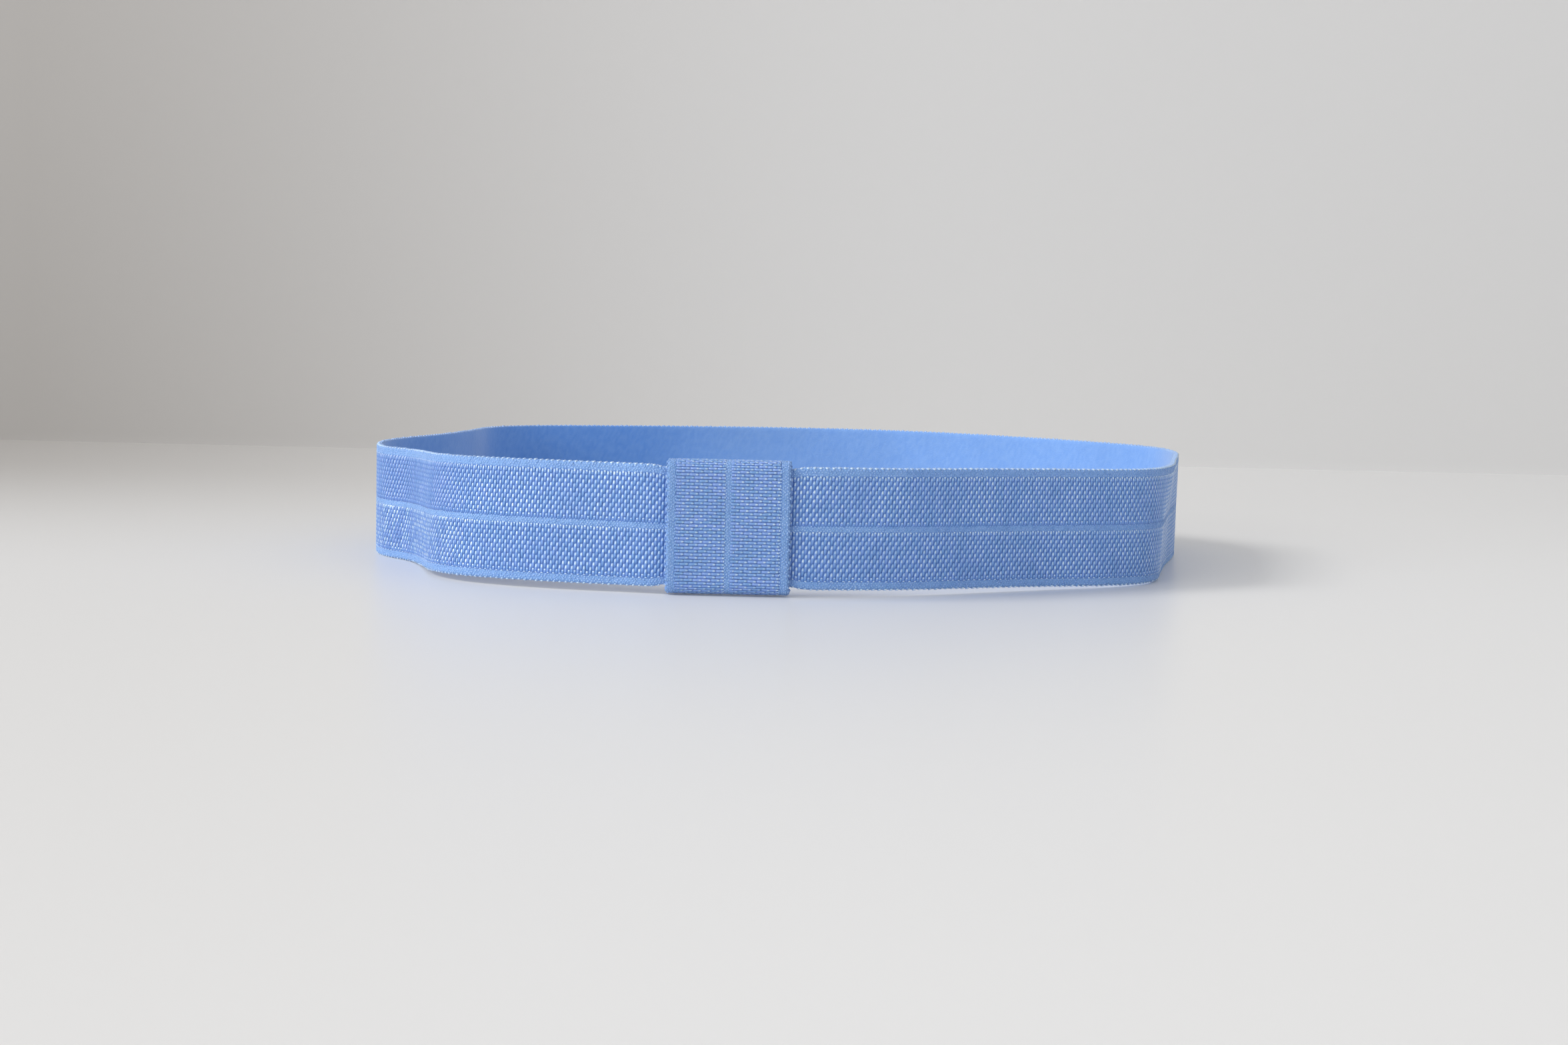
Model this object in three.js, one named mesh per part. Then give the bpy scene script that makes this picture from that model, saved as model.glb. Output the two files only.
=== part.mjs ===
// An interchangeable headband: one loop of fold-over elastic that stands on its lower edge, and a
// keeper, a short loop of the same elastic wrapped round its front, which holds a bow or a clip.
// Millimetres, +Z up. The keeper faces -Y and the origin is under the middle of the part.
import * as THREE from "three";

// The loop, over its outer faces.
const loopWidth = 122.3;
const loopDepth = 115.1;

// The elastic's section. Its back is plain, and its face has two satin panels with a plain fold line
// between them and a plain selvedge beside each.
const bandWidth = 15.9;
const bandThickness = 1.0;
const selvedgeWidth = 1.1;
const selvedgeThickness = 0.8;
const foldLineWidth = 0.8;
const foldLineThickness = 0.8;
const panelSlope = 0.3;

// The keeper.
const keeperPlace = -7.5; // its middle, left of the loop's middle
const keeperGap = 0.25; // to the band, all round
const keeperPinch = 0.6; // how much it narrows the band that it holds
const keeperRelease = 7; // the stretch beside it over which the band takes up its own bend again
const pinchRelease = 1.8; // and its own width
const keeperFoldRadius = 0.6; // inside its top and bottom folds
const keeperLapHeight = 7; // its ends lap on the inner side
const keeperLapThickness = 0.8;
const lapEdge = 0.4; // the slope at each end of the lap

// How finely the bends are followed.
const samples = 360;
const softenPasses = 8;
const stepLength = 4.5;
const stepTurn = THREE.MathUtils.degToRad(7);
const stepPinch = 0.25;
const foldSteps = 4;

// The band's path seen from above, counter-clockwise from the keeper, a row for each bend or fold.
// across is a share of half the loop's width and deep a share of its depth. leanLow and leanHigh are
// the outward lean, in degrees, below and above the fold line. lift is a share of the height to
// which the keeper raises the band's lower edge.
const bends = [
  { across: -0.12, deep: 0.0, leanLow: 0, leanHigh: 0, lift: 1 },
  { across: 0.065, deep: 0.0, leanLow: 0, leanHigh: 0, lift: 1 },
  // right front, sloping back to a corner with a diagonal crease
  { across: 0.245, deep: 0.025, leanLow: 0, leanHigh: 0, lift: 0.9 },
  { across: 0.425, deep: 0.075, leanLow: 0, leanHigh: -1, lift: 0.75 },
  { across: 0.59, deep: 0.122, leanLow: 0, leanHigh: -2, lift: 0.55 },
  { across: 0.725, deep: 0.16, leanLow: -2, leanHigh: -5, lift: 0.35 },
  { across: 0.84, deep: 0.215, leanLow: 2, leanHigh: -2, lift: 0.2 },
  { across: 0.885, deep: 0.316, leanLow: 3, leanHigh: 7, lift: 0.05 },
  // right side, with a shallow second kink
  { across: 0.923, deep: 0.42, leanLow: 2, leanHigh: 6, lift: 0 },
  { across: 0.965, deep: 0.515, leanLow: 1, leanHigh: 2, lift: 0 },
  { across: 0.99, deep: 0.605, leanLow: 0, leanHigh: 0, lift: 0 },
  { across: 0.96, deep: 0.71, leanLow: 0, leanHigh: 0, lift: 0 },
  // back
  { across: 0.82, deep: 0.805, leanLow: 0, leanHigh: 0, lift: 0 },
  { across: 0.62, deep: 0.895, leanLow: 0, leanHigh: 0, lift: 0 },
  { across: 0.39, deep: 0.97, leanLow: 0, leanHigh: 0, lift: 0 },
  { across: 0.13, deep: 1.0, leanLow: 0, leanHigh: 0, lift: 0 },
  { across: -0.15, deep: 0.99, leanLow: 0, leanHigh: 0, lift: 0 },
  { across: -0.43, deep: 0.955, leanLow: 0, leanHigh: 0, lift: 0 },
  // back left corner
  { across: -0.675, deep: 0.908, leanLow: 0, leanHigh: 0, lift: 0 },
  { across: -0.8, deep: 0.84, leanLow: 0, leanHigh: 0, lift: 0 },
  { across: -0.84, deep: 0.735, leanLow: 0, leanHigh: 0, lift: 0 },
  // left end
  { across: -0.885, deep: 0.63, leanLow: 0, leanHigh: 0, lift: 0 },
  { across: -0.955, deep: 0.525, leanLow: 0, leanHigh: 0, lift: 0 },
  { across: -0.985, deep: 0.43, leanLow: 0, leanHigh: 0, lift: 0 },
  { across: -0.95, deep: 0.337, leanLow: 0, leanHigh: 0, lift: 0 },
  // left front, an S-shaped kink and then a gentle curve to the keeper
  { across: -0.865, deep: 0.276, leanLow: 0, leanHigh: 0, lift: 0.1 },
  { across: -0.81, deep: 0.193, leanLow: 0, leanHigh: -2, lift: 0.4 },
  { across: -0.772, deep: 0.127, leanLow: -2, leanHigh: -4, lift: 0.7 },
  { across: -0.68, deep: 0.07, leanLow: -3, leanHigh: -6, lift: 0.9 },
  { across: -0.51, deep: 0.028, leanLow: -2, leanHigh: -5, lift: 1 },
  { across: -0.315, deep: 0.005, leanLow: 0, leanHigh: -2, lift: 1 },
];

// The points round the elastic's section. across runs over its width, and out rises from its plain
// back, at 0, to its satin face.
function elasticSection() {
  const half = bandWidth / 2;
  const rightFace = [
    { across: foldLineWidth / 2, out: foldLineThickness },
    { across: foldLineWidth / 2 + panelSlope, out: bandThickness },
    { across: half - selvedgeWidth - panelSlope, out: bandThickness },
    { across: half - selvedgeWidth, out: selvedgeThickness },
    { across: half, out: selvedgeThickness },
  ];
  const leftFace = rightFace.map(({ across, out }) => ({ across: -across, out })).reverse();
  const back = [half, 0, -half].map((across) => ({ across, out: 0 }));
  return [...leftFace, ...rightFace, ...back];
}

// A closed body from one section carried round a closed path: rings[i][j] is point j of the section
// at place i of the path.
function ringBody(rings) {
  const around = rings[0].length;
  const index = [];
  rings.forEach((_, i) => {
    const here = i * around;
    const next = ((i + 1) % rings.length) * around;
    for (let j = 0; j < around; j += 1) {
      const k = (j + 1) % around;
      index.push(here + j, next + j, next + k, here + j, next + k, here + k);
    }
  });
  const geometry = new THREE.BufferGeometry().setFromPoints(rings.flat());
  geometry.setIndex(index);
  geometry.computeVertexNormals();
  return geometry;
}

function closedCurve(points) {
  return new THREE.CatmullRomCurve3(points, true, "catmullrom", 0.5);
}

// Evenly spaced places on the path through the bends, in shares.
function samplesOfBends() {
  const halfWidth = loopWidth / 2;
  const places = bends.map(({ across, deep }) => new THREE.Vector3(across * halfWidth, deep * loopDepth, 0));
  const poses = bends.map(({ leanLow, leanHigh, lift }) => new THREE.Vector3(leanLow, leanHigh, lift));
  const plan = closedCurve(places);
  const pose = closedCurve(poses);
  plan.arcLengthDivisions = samples * 2;
  return Array.from({ length: samples }, (_, k) => {
    const t = plan.getUtoTmapping(k / samples);
    return { place: plan.getPoint(t), pose: pose.getPoint(t) };
  });
}

// Each sample moved towards the mean of its neighbours, which rounds the folds as elastic does.
function softened(line) {
  return line.map((sample, k) => {
    const before = line.at(k - 1);
    const after = line[(k + 1) % line.length];
    const mixed = (key) => before[key].clone().add(after[key]).multiplyScalar(0.5).lerp(sample[key], 0.5);
    return { place: mixed("place"), pose: mixed("pose") };
  });
}

// The line moved and stretched so that the band's outer faces measure loopWidth by loopDepth.
function fitted(line) {
  const box = new THREE.Box3().setFromPoints(line.map((sample) => sample.place));
  const size = box.getSize(new THREE.Vector3());
  const middle = box.getCenter(new THREE.Vector3());
  const alongX = (loopWidth - bandThickness) / size.x;
  const alongY = (loopDepth - bandThickness) / size.y;
  return line.map(({ place, pose }) => ({
    place: new THREE.Vector3((place.x - middle.x) * alongX, (place.y - box.min.y) * alongY, 0),
    pose,
  }));
}

// 1 where the keeper holds the band, falling smoothly to 0 beside it over the release.
function holdAt(x, release) {
  const beyond = Math.abs(x - keeperPlace) - bandWidth / 2 - keeperGap;
  return 1 - THREE.MathUtils.smoothstep(beyond, 0, release);
}

// Where the keeper holds the band it lies flat and upright, raised by the keeper's own wall.
function heldByKeeper(line) {
  const front = line.filter(({ place }) => place.y < loopDepth / 2);
  const distance = ({ place }) => Math.abs(place.x - keeperPlace);
  const seat = front.reduce((best, sample) => (distance(sample) < distance(best) ? sample : best));
  const seatDepth = seat.place.y;
  return line.map((sample) => {
    const inFront = sample.place.y < loopDepth / 2;
    const hold = inFront ? holdAt(sample.place.x, keeperRelease) : 0;
    const pinch = inFront ? holdAt(sample.place.x, pinchRelease) : 0;
    const place = sample.place.clone();
    place.y = THREE.MathUtils.lerp(place.y, seatDepth, hold);
    const pose = sample.pose.clone().lerp(new THREE.Vector3(0, 0, 1), hold);
    return { place, pose, pinch };
  });
}

// The places that get a section: closer together where the line turns or the band narrows.
function stations(line) {
  const direction = (k) => {
    const ahead = line[(k + 1) % line.length].place;
    return ahead.clone().sub(line.at(k - 1).place).normalize();
  };
  const chosen = [];
  let last = null;
  line.forEach((sample, k) => {
    const along = direction(k);
    const far = last === null || sample.place.distanceTo(last.place) >= stepLength;
    const turned = !far && along.angleTo(last.along) >= stepTurn;
    const narrowed = !far && Math.abs(sample.pinch - last.pinch) >= stepPinch;
    if (far || turned || narrowed) {
      last = { ...sample, along, outward: new THREE.Vector3(along.y, -along.x, 0) };
      chosen.push(last);
    }
  });
  return chosen;
}

// One section of the band. Each half leans about the fold line, and the lower edge stands on the
// table or as far above it as the keeper lifts it.
function bandSection({ place, pose, pinch, outward }, section) {
  const leanLow = THREE.MathUtils.degToRad(pose.x);
  const leanHigh = THREE.MathUtils.degToRad(pose.y);
  const narrowed = 1 - (keeperPinch * pinch) / bandWidth;
  const half = bandWidth / 2;
  const footDrop = half * Math.cos(leanLow) + (bandThickness / 2) * Math.abs(Math.sin(leanLow));
  const lift = Math.max(0, pose.z) * (bandThickness + keeperGap - keeperPinch / 2);
  return section.map(({ across, out }) => {
    const lean = across < 0 ? leanLow : leanHigh;
    const up = across * narrowed;
    const proud = out - bandThickness / 2;
    const sideways = up * Math.sin(lean) + proud * Math.cos(lean);
    const rise = up * Math.cos(lean) - proud * Math.sin(lean);
    const point = place.clone().addScaledVector(outward, sideways);
    point.z = lift + footDrop + rise;
    return point;
  });
}

function elasticBand(line) {
  const section = elasticSection();
  return ringBody(stations(line).map((station) => bandSection(station, section)));
}

// The outline of the keeper's slot in its own plane, y across the band's thickness and z up its
// width, counter-clockwise from the lap's lower end, with an outward direction at each point.
function slotOutline() {
  const halfDepth = bandThickness / 2 + keeperGap;
  const halfHeight = (bandWidth - keeperPinch) / 2 + keeperGap;
  const corners = [
    { y: 1, z: 1 },
    { y: -1, z: 1 },
    { y: -1, z: -1 },
    { y: 1, z: -1 },
  ];
  const outline = [];
  corners.forEach((corner, quarter) => {
    for (let step = 0; step <= foldSteps; step += 1) {
      const angle = (Math.PI / 2) * (quarter + step / foldSteps);
      const direction = { y: Math.cos(angle), z: Math.sin(angle) };
      outline.push({
        y: corner.y * (halfDepth - keeperFoldRadius) + keeperFoldRadius * direction.y,
        z: corner.z * (halfHeight - keeperFoldRadius) + keeperFoldRadius * direction.z,
        direction,
        lap: 0,
      });
    }
  });
  const inward = { y: 1, z: 0 };
  const lapHalf = keeperLapHeight / 2;
  const lapRows = [
    { z: -lapHalf - lapEdge, lap: 0 },
    { z: -lapHalf, lap: 1 },
    { z: lapHalf, lap: 1 },
    { z: lapHalf + lapEdge, lap: 0 },
  ];
  lapRows.forEach(({ z, lap }) => outline.push({ y: halfDepth, z, direction: inward, lap }));
  return outline;
}

// The keeper: the elastic's section carried round the slot, thicker where its ends lap.
function keeperLoop(line) {
  const section = elasticSection();
  const middle = line.find(({ pinch }) => pinch === 1).place.y;
  const height = bandThickness + keeperGap + (bandWidth - keeperPinch) / 2;
  const rings = slotOutline().map(({ y, z, direction, lap }) =>
    section.map(({ across, out }) => {
      const proud = out > 0 ? out + lap * keeperLapThickness : 0;
      return new THREE.Vector3(
        keeperPlace + across,
        middle + y + proud * direction.y,
        height + z + proud * direction.z,
      );
    }),
  );
  return ringBody(rings);
}

function piece(name, geometry, colour) {
  const material = new THREE.MeshStandardMaterial({ color: colour, roughness: 0.75, metalness: 0 });
  const mesh = new THREE.Mesh(geometry, material);
  mesh.name = name;
  return mesh;
}

function softenedLine() {
  let line = samplesOfBends();
  for (let pass = 0; pass < softenPasses; pass += 1) {
    line = softened(line);
  }
  return heldByKeeper(fitted(line));
}

const line = softenedLine();
const group = new THREE.Group();
group.add(piece("elastic_band", elasticBand(line), 0x7f9fd4));
group.add(piece("keeper_loop", keeperLoop(line), 0x7591c3));

const box = new THREE.Box3().setFromObject(group);
const middle = box.getCenter(new THREE.Vector3());
group.position.set(-middle.x, -middle.y, -box.min.z);

export default group;
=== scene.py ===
"""Interchangeable headband: a standing loop of elastic, woven yarn by yarn, and its keeper."""

import bpy
import numpy as np
from bpy.props import FloatProperty, FloatVectorProperty, IntProperty, PointerProperty
from mathutils import Matrix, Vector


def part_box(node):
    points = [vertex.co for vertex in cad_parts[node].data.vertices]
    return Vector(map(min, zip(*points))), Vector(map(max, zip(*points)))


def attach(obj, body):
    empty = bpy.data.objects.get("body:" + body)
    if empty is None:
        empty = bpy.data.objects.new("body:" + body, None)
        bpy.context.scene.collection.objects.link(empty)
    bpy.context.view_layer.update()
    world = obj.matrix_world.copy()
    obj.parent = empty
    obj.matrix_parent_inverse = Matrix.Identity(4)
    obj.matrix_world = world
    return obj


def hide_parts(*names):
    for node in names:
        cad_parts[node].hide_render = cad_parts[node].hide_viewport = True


bl_info = {
    "name": "Interchangeable headband",
    "version": (1, 0, 0),
    "blender": (4, 5, 0),
    "location": "View3D > Sidebar > Headband",
    "description": "Weaves a fold-over elastic headband and its keeper loop round a packed frame",
    "category": "Add Mesh",
}

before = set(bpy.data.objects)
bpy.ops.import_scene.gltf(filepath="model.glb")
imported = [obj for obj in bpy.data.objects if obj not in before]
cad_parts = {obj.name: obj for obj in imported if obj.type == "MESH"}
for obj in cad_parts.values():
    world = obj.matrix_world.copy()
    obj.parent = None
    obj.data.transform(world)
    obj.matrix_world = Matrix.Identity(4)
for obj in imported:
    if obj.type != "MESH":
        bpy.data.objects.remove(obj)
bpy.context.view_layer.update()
BAND_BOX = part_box("elastic_band")
KEEPER_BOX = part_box("keeper_loop")

MM = 0.001
SEED = 11
FLOOR_CLEARANCE = 0.01 * MM

# The band's path: steps between bends, even places, passes of softening, steps between places.
BEND_STEPS = 20
LINE_SAMPLES = 360
SOFTEN_PASSES = 8
LINE_REFINEMENT = 8

# The keeper narrows the band by the pinch, and frees its path and its width past the releases.
BAND_THICKNESS = 1.0 * MM
KEEPER_GAP = 0.25 * MM
KEEPER_PINCH = 0.6 * MM
KEEPER_RELEASE = 7 * MM
PINCH_RELEASE = 1.8 * MM

# The keeper's lap thickens it outwards from the lap level, and falls away over the lap edge.
KEEPER_SAMPLES = 3200
KEEPER_FOLD_RADIUS = 0.6 * MM
KEEPER_LAP_HEIGHT = 7 * MM
KEEPER_LAP_THICKNESS = 0.8 * MM
LAP_LEVEL = 0.2 * MM
LAP_EDGE = 0.4 * MM

# Levels above the elastic's back, and how unevenly the ground cloth's front and back lie.
EDGING_LEVEL = 0.8 * MM
PANEL_LEVEL = 0.75 * MM
YARN_FOOT = 0.76 * MM
FRONT_UNEVENNESS, BACK_UNEVENNESS = 0.012 * MM, 0.003 * MM

# Stretches of the band, as shares of its length counter-clockwise from the keeper: the middle, the
# reach to both sides, and the release over which the look fades. The plush has painted light on
# the first, the plain strips have painted shade on the second, and on the third painted highlight
# dashes glitter between floats with painted shade.
PAINTED_PLUSH_LIGHT_MIDDLE, PAINTED_PLUSH_LIGHT_REACH, PAINTED_PLUSH_LIGHT_RELEASE = 0.33, 0.2, 0.06
RIGHT_FRONT_MIDDLE, RIGHT_FRONT_REACH, RIGHT_FRONT_RELEASE = 0.14, 0.07, 0.03
LEFT_END_MIDDLE, LEFT_END_REACH, LEFT_END_RELEASE = 0.845, 0.04, 0.03
# The left end's other floats get this share of the painted light, which below nought is painted
# shade.
LEFT_END_PAINTED_SHADE = -0.4

# Where on that length the floats' slant peaks, as it sways once round.
SWAY_PEAK = 0.1

# The keeper's plain strips are a little darker than the band's.
KEEPER_SHADE = np.array([0.94, 0.93, 0.93])

# The band's path seen from above, counter-clockwise from the keeper, a row for each bend or fold:
# across as a share of half the loop's width, deep as a share of its depth, the outward lean in
# degrees below and above the fold line, and the lift as a share of what the keeper's wall gives.
BENDS = (
    (-0.12, 0.0, 0, 0, 1),
    (0.065, 0.0, 0, 0, 1),
    (0.245, 0.025, 0, 0, 0.9),
    (0.425, 0.075, 0, -1, 0.75),
    (0.59, 0.122, 0, -2, 0.55),
    (0.725, 0.16, -2, -5, 0.35),
    (0.84, 0.215, 2, -2, 0.2),
    (0.885, 0.316, 3, 7, 0.05),
    (0.923, 0.42, 2, 6, 0),
    (0.965, 0.515, 1, 2, 0),
    (0.99, 0.605, 0, 0, 0),
    (0.96, 0.71, 0, 0, 0),
    (0.82, 0.805, 0, 0, 0),
    (0.62, 0.895, 0, 0, 0),
    (0.39, 0.97, 0, 0, 0),
    (0.13, 1.0, 0, 0, 0),
    (-0.15, 0.99, 0, 0, 0),
    (-0.43, 0.955, 0, 0, 0),
    (-0.675, 0.908, 0, 0, 0),
    (-0.8, 0.84, 0, 0, 0),
    (-0.84, 0.735, 0, 0, 0),
    (-0.885, 0.63, 0, 0, 0),
    (-0.955, 0.525, 0, 0, 0),
    (-0.985, 0.43, 0, 0, 0),
    (-0.95, 0.337, 0, 0, 0),
    (-0.865, 0.276, 0, 0, 0.1),
    (-0.81, 0.193, 0, -2, 0.4),
    (-0.772, 0.127, -2, -4, 0.7),
    (-0.68, 0.07, -3, -6, 0.9),
    (-0.51, 0.028, -2, -5, 1),
    (-0.315, 0.005, 0, -2, 1),
)


class HeadbandElastic(bpy.types.PropertyGroup):
    """Sizes of the elastic's weave."""

    width: FloatProperty(
        name="Width", description="Width of the elastic",
        default=15.9 * MM, unit="LENGTH", precision=5,
    )
    selvedge: FloatProperty(
        name="Selvedge", description="Plain strip along each edge",
        default=1.1 * MM, unit="LENGTH", precision=5,
    )
    fold_line: FloatProperty(
        name="Fold line", description="Plain strip in the middle",
        default=0.8 * MM, unit="LENGTH", precision=5,
    )
    column: FloatProperty(
        name="Column pitch", description="Distance between float columns",
        default=0.414 * MM, unit="LENGTH", precision=6,
    )
    float_pitch: FloatProperty(
        name="Float pitch", description="Distance between floats in a column",
        default=1.18 * MM, unit="LENGTH", precision=6,
    )
    float_breadth: FloatProperty(
        name="Float breadth", description="Breadth of a float",
        default=0.42 * MM, unit="LENGTH", precision=6,
    )
    float_height: FloatProperty(
        name="Float height", description="Height of a float",
        default=0.11 * MM, unit="LENGTH", precision=6,
    )
    seed: IntProperty(
        name="Seed", description="Seed of the yarns' small differences", default=SEED, min=0
    )


class HeadbandColours(bpy.types.PropertyGroup):
    """Colours of the yarns and of the studio."""

    satin: FloatVectorProperty(
        name="Satin", description="Satin yarn of the panels",
        subtype="COLOR", size=3, default=(0.144, 0.303, 0.705),
    )
    ground: FloatVectorProperty(
        name="Ground", description="Cloth between the satin yarns",
        subtype="COLOR", size=3, default=(0.11, 0.245, 0.62),
    )
    edging: FloatVectorProperty(
        name="Edging", description="Selvedge and fold line yarn",
        subtype="COLOR", size=3, default=(0.21, 0.39, 0.77),
    )
    picot: FloatVectorProperty(
        name="Picots", description="Bright yarn that beads the edges",
        subtype="COLOR", size=3, default=(0.36, 0.54, 0.88),
    )
    plush: FloatVectorProperty(
        name="Plush", description="Brushed back",
        subtype="COLOR", size=3, default=(0.165, 0.345, 0.76),
    )
    floor: FloatVectorProperty(
        name="Floor", description="Floor and wall",
        subtype="COLOR", size=3, default=(0.77, 0.77, 0.77),
    )


class HeadbandStudio(bpy.types.PropertyGroup):
    """Camera and light."""

    lens: FloatProperty(
        name="Lens", description="Focal length in millimetres", default=56.63, min=20, max=200
    )
    distance: FloatProperty(
        name="Distance", description="Camera to the keeper's front",
        default=316.4 * MM, unit="LENGTH", precision=4,
    )
    height: FloatProperty(
        name="Height", description="Camera above the floor",
        default=38.9 * MM, unit="LENGTH", precision=4,
    )
    pitch: FloatProperty(
        name="Pitch", description="How far the camera looks down",
        default=np.radians(5.253), subtype="ANGLE",
    )
    roll: FloatProperty(
        name="Roll", description="How far the camera leans",
        default=np.radians(1.3), subtype="ANGLE",
    )
    wall: FloatProperty(
        name="Wall", description="Wall behind the origin",
        default=220 * MM, unit="LENGTH", precision=3,
    )
    window: FloatProperty(
        name="Window", description="Power of the high window light",
        default=24.0, min=0, unit="POWER",
    )
    sill: FloatProperty(
        name="Sill", description="Power of the low, wide light", default=9.0, min=0, unit="POWER"
    )
    sky: FloatProperty(
        name="Sky", description="Strength of the room's own light", default=0.67, min=0
    )


def catmull_rom(rows, steps):
    """A closed uniform Catmull-Rom curve through the rows, for every column at once.

    Between two rows the value is the cubic that passes through both with the slope of the chord
    joining each row's neighbours. Each span gets the given number of steps.
    """
    t = np.linspace(0, 1, steps, endpoint=False)[None, :, None]
    before, here, ahead, beyond = (
        np.roll(rows, shift, axis=0)[:, None, :] for shift in (1, 0, -1, -2)
    )
    curve = 0.5 * (
        2 * here
        + (ahead - before) * t
        + (2 * before - 5 * here + 4 * ahead - beyond) * t**2
        + (3 * here - before - 3 * ahead + beyond) * t**3
    )
    return curve.reshape(-1, rows.shape[1])


def distances(curve):
    """How far each place of a closed curve is from its first, by two columns, and the whole way."""
    steps = np.diff(np.vstack([curve, curve[:1]])[:, :2], axis=0)
    return np.r_[0, np.cumsum(np.linalg.norm(steps, axis=1))]


def evenly_spaced(curve, count):
    """The closed curve at count places that lie the same distance apart."""
    closed = np.vstack([curve, curve[:1]])
    travelled = distances(curve)
    places = np.linspace(0, travelled[-1], count, endpoint=False)
    return np.column_stack([np.interp(places, travelled, column) for column in closed.T])


def smooth_fall(beyond, release):
    """1 up to 0, then down to 0 at release, with level ends: one less 3t squared less 2t cubed."""
    t = np.clip(beyond / release, 0, 1)
    return 1 - t * t * (3 - 2 * t)


def keeper_middle():
    """The middle of the keeper's slot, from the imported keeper's box.

    It lies behind the box's front by the keeper's wall, the gap and half of the band.
    """
    low, high = (np.array(corner) for corner in KEEPER_BOX)
    depth = low[1] + 1.5 * BAND_THICKNESS + KEEPER_GAP
    return np.array([(low[0] + high[0]) / 2, depth, (low[2] + high[2]) / 2])


def band_line(width):
    """The band's path as rows of x, y, lean below and above the fold line, lift and pinch.

    The bends are joined by a Catmull-Rom curve in real sizes, spaced evenly and softened by
    averaging each place with its neighbours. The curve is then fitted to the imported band's box,
    flattened where the keeper holds it, and refined by another Catmull-Rom curve.
    """
    low, high = (np.array(corner) for corner in BAND_BOX)
    middle = keeper_middle()
    size = high[:2] - low[:2]
    rows = np.array(BENDS, float) * [size[0] / 2, size[1], 1, 1, 1]
    line = evenly_spaced(catmull_rom(rows, BEND_STEPS), LINE_SAMPLES)
    for _ in range(SOFTEN_PASSES):
        line = line / 2 + (np.roll(line, 1, axis=0) + np.roll(line, -1, axis=0)) / 4
    least, most = line[:, :2].min(axis=0), line[:, :2].max(axis=0)
    scale = (size - BAND_THICKNESS) / (most - least)
    line[:, :2] = (line[:, :2] - least) * scale + low[:2] + BAND_THICKNESS / 2
    front = line[:, 1] < (low[1] + high[1]) / 2
    beyond = np.abs(line[:, 0] - middle[0]) - width / 2 - KEEPER_GAP
    hold = np.where(front, smooth_fall(beyond, KEEPER_RELEASE), 0)
    pinch = np.where(front, smooth_fall(beyond, PINCH_RELEASE), 0)
    line[:, 1] += (middle[1] - line[:, 1]) * hold
    line[:, 2:4] *= 1 - hold[:, None]
    line[:, 4] += (1 - line[:, 4]) * hold
    return catmull_rom(np.column_stack([line, pinch]), LINE_REFINEMENT)


class Carrier:
    """Turns the elastic's own directions into places: along it, across it and out of its back."""

    def __init__(self, length, carry):
        self.length = length
        self.carry = carry


def band_carrier(width):
    """Carries the elastic round the band's path.

    A place is the path's point, moved outwards and up by the place's height and proudness turned
    by the lean of its half, and raised by the lift so that the lower edge stands where it should.
    """
    line = band_line(width)
    travelled = distances(line)
    along_line, length = travelled[:-1], travelled[-1]
    heading = np.roll(line[:, :2], -1, axis=0) - np.roll(line[:, :2], 1, axis=0)
    heading /= np.linalg.norm(heading, axis=1)[:, None]
    columns = np.column_stack([line, heading[:, 1], -heading[:, 0]]).T
    stand = BAND_THICKNESS + KEEPER_GAP - KEEPER_PINCH / 2

    def carry(along, across, out):
        """Places on the band, as three columns."""
        x, y, low, high, lift, pinch, out_x, out_y = (
            np.interp(along, along_line, column, period=length) for column in columns
        )
        low, high = np.radians(low), np.radians(high)
        lean = np.where(across < 0, low, high)
        up = across * (1 - KEEPER_PINCH * pinch / width)
        proud = out - BAND_THICKNESS / 2
        sideways = up * np.sin(lean) + proud * np.cos(lean)
        rise = up * np.cos(lean) - proud * np.sin(lean)
        foot = width / 2 * np.cos(low) + BAND_THICKNESS / 2 * np.abs(np.sin(low))
        height = np.maximum(np.maximum(lift, 0) * stand + foot + rise, FLOOR_CLEARANCE)
        norm = np.hypot(out_x, out_y)
        return np.stack([x + sideways * out_x / norm, y + sideways * out_y / norm, height], axis=-1)

    return Carrier(length, carry)


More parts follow.
